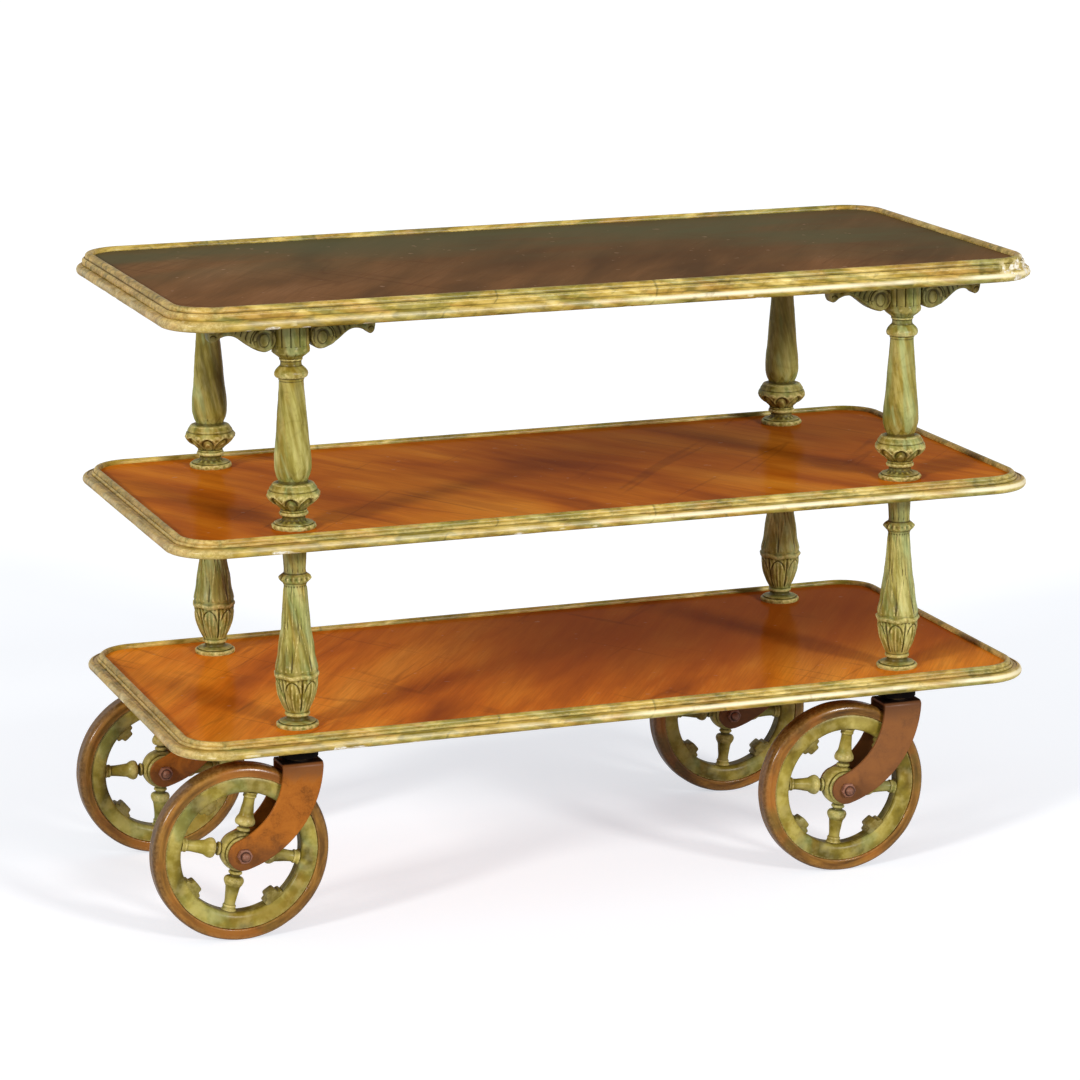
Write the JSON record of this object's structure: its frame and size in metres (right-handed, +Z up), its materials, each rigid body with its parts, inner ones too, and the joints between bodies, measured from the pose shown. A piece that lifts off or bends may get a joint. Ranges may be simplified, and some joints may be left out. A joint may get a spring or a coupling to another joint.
{
  "type": "serving trolley",
  "caption": "Long three-tier serving trolley: moulded rims round polished boards, carved columns with scroll brackets, and large turned-spoke wheels on swivelling iron forks.",
  "frame": {"origin": "on the floor, under the middle of the whole object's box; the trays' own middle is 12.5 mm towards +X, because the trailing wheels reach past the trays at -X", "axes": "+X along the trays, away from the end to which the casters trail; +Y from the front long side to the rear; +Z up"},
  "size_m": [1.245, 0.58, 0.857],
  "materials": {
    "painted_rim": "carved wood painted as yellow-green marble, satin varnish",
    "painted_turning": "turned and carved wood painted as yellow-green marble, satin varnish",
    "painted_wheel": "turned wood painted as yellow-green marble, satin varnish",
    "dark_board": "dark brown polished wood",
    "red_board": "orange-brown polished mahogany",
    "brown_tyre": "brown grained wood, satin",
    "rusty_iron": "flat iron with an even brown rust patina",
    "dark_iron": "blackened iron",
    "bronze": "dull bronze"
  },
  "bodies": {
    "cart": {"top_rim": "painted_rim", "top_board": "dark_board", "middle_rim": "painted_rim", "middle_board": "red_board", "bottom_rim": "painted_rim", "bottom_board": "red_board", "plate_screws": "dark_iron", "upper_column_front_left": "painted_turning", "upper_column_front_right": "painted_turning", "upper_column_rear_left": "painted_turning", "upper_column_rear_right": "painted_turning", "scroll_bracket_front_left": "painted_turning", "scroll_bracket_front_right": "painted_turning", "scroll_bracket_rear_left": "painted_turning", "scroll_bracket_rear_right": "painted_turning", "lower_column_front_left": "painted_turning", "lower_column_front_right": "painted_turning", "lower_column_rear_left": "painted_turning", "lower_column_rear_right": "painted_turning", "mounting_plate_front_left": "dark_iron", "mounting_plate_front_right": "dark_iron", "mounting_plate_rear_left": "dark_iron", "mounting_plate_rear_right": "dark_iron", "kingpin_front_left": "dark_iron", "kingpin_front_right": "dark_iron", "kingpin_rear_left": "dark_iron", "kingpin_rear_right": "dark_iron", "swivel_washer_front_left": "bronze", "swivel_washer_front_right": "bronze", "swivel_washer_rear_left": "bronze", "swivel_washer_rear_right": "bronze"},
    "caster_front_left": {"fork_front_left": "rusty_iron", "axle_front_left": "rusty_iron"},
    "wheel_front_left": {"hub_front_left": "painted_wheel", "hub_bush_front_left": "bronze", "spokes_front_left": "painted_wheel", "felly_front_left": "painted_wheel", "tyre_front_left": "brown_tyre"},
    "caster_front_right": {"fork_front_right": "rusty_iron", "axle_front_right": "rusty_iron"},
    "wheel_front_right": {"hub_front_right": "painted_wheel", "hub_bush_front_right": "bronze", "spokes_front_right": "painted_wheel", "felly_front_right": "painted_wheel", "tyre_front_right": "brown_tyre"},
    "caster_rear_left": {"fork_rear_left": "rusty_iron", "axle_rear_left": "rusty_iron"},
    "wheel_rear_left": {"hub_rear_left": "painted_wheel", "hub_bush_rear_left": "bronze", "spokes_rear_left": "painted_wheel", "felly_rear_left": "painted_wheel", "tyre_rear_left": "brown_tyre"},
    "caster_rear_right": {"fork_rear_right": "rusty_iron", "axle_rear_right": "rusty_iron"},
    "wheel_rear_right": {"hub_rear_right": "painted_wheel", "hub_bush_rear_right": "bronze", "spokes_rear_right": "painted_wheel", "felly_rear_right": "painted_wheel", "tyre_rear_right": "brown_tyre"}
  },
  "joints": [
    {"name": "swivel_front_left", "type": "hinge", "parent": "cart", "child": "caster_front_left", "pos_m": [-0.41949, -0.2065, 0.24], "axis": [0, 0, 1], "continuous": true},
    {"name": "spin_front_left", "type": "hinge", "parent": "caster_front_left", "child": "wheel_front_left", "pos_m": [-0.50251, -0.2065, 0.12], "axis": [0, 1, 0], "continuous": true},
    {"name": "swivel_front_right", "type": "hinge", "parent": "cart", "child": "caster_front_right", "pos_m": [0.44451, -0.2065, 0.24], "axis": [0, 0, 1], "continuous": true},
    {"name": "spin_front_right", "type": "hinge", "parent": "caster_front_right", "child": "wheel_front_right", "pos_m": [0.36149, -0.2065, 0.12], "axis": [0, 1, 0], "continuous": true},
    {"name": "swivel_rear_left", "type": "hinge", "parent": "cart", "child": "caster_rear_left", "pos_m": [-0.41949, 0.2065, 0.24], "axis": [0, 0, 1], "continuous": true},
    {"name": "spin_rear_left", "type": "hinge", "parent": "caster_rear_left", "child": "wheel_rear_left", "pos_m": [-0.50251, 0.2065, 0.12], "axis": [0, 1, 0], "continuous": true},
    {"name": "swivel_rear_right", "type": "hinge", "parent": "cart", "child": "caster_rear_right", "pos_m": [0.44451, 0.2065, 0.24], "axis": [0, 0, 1], "continuous": true},
    {"name": "spin_rear_right", "type": "hinge", "parent": "caster_rear_right", "child": "wheel_rear_right", "pos_m": [0.36149, 0.2065, 0.12], "axis": [0, 1, 0], "continuous": true}
  ]
}
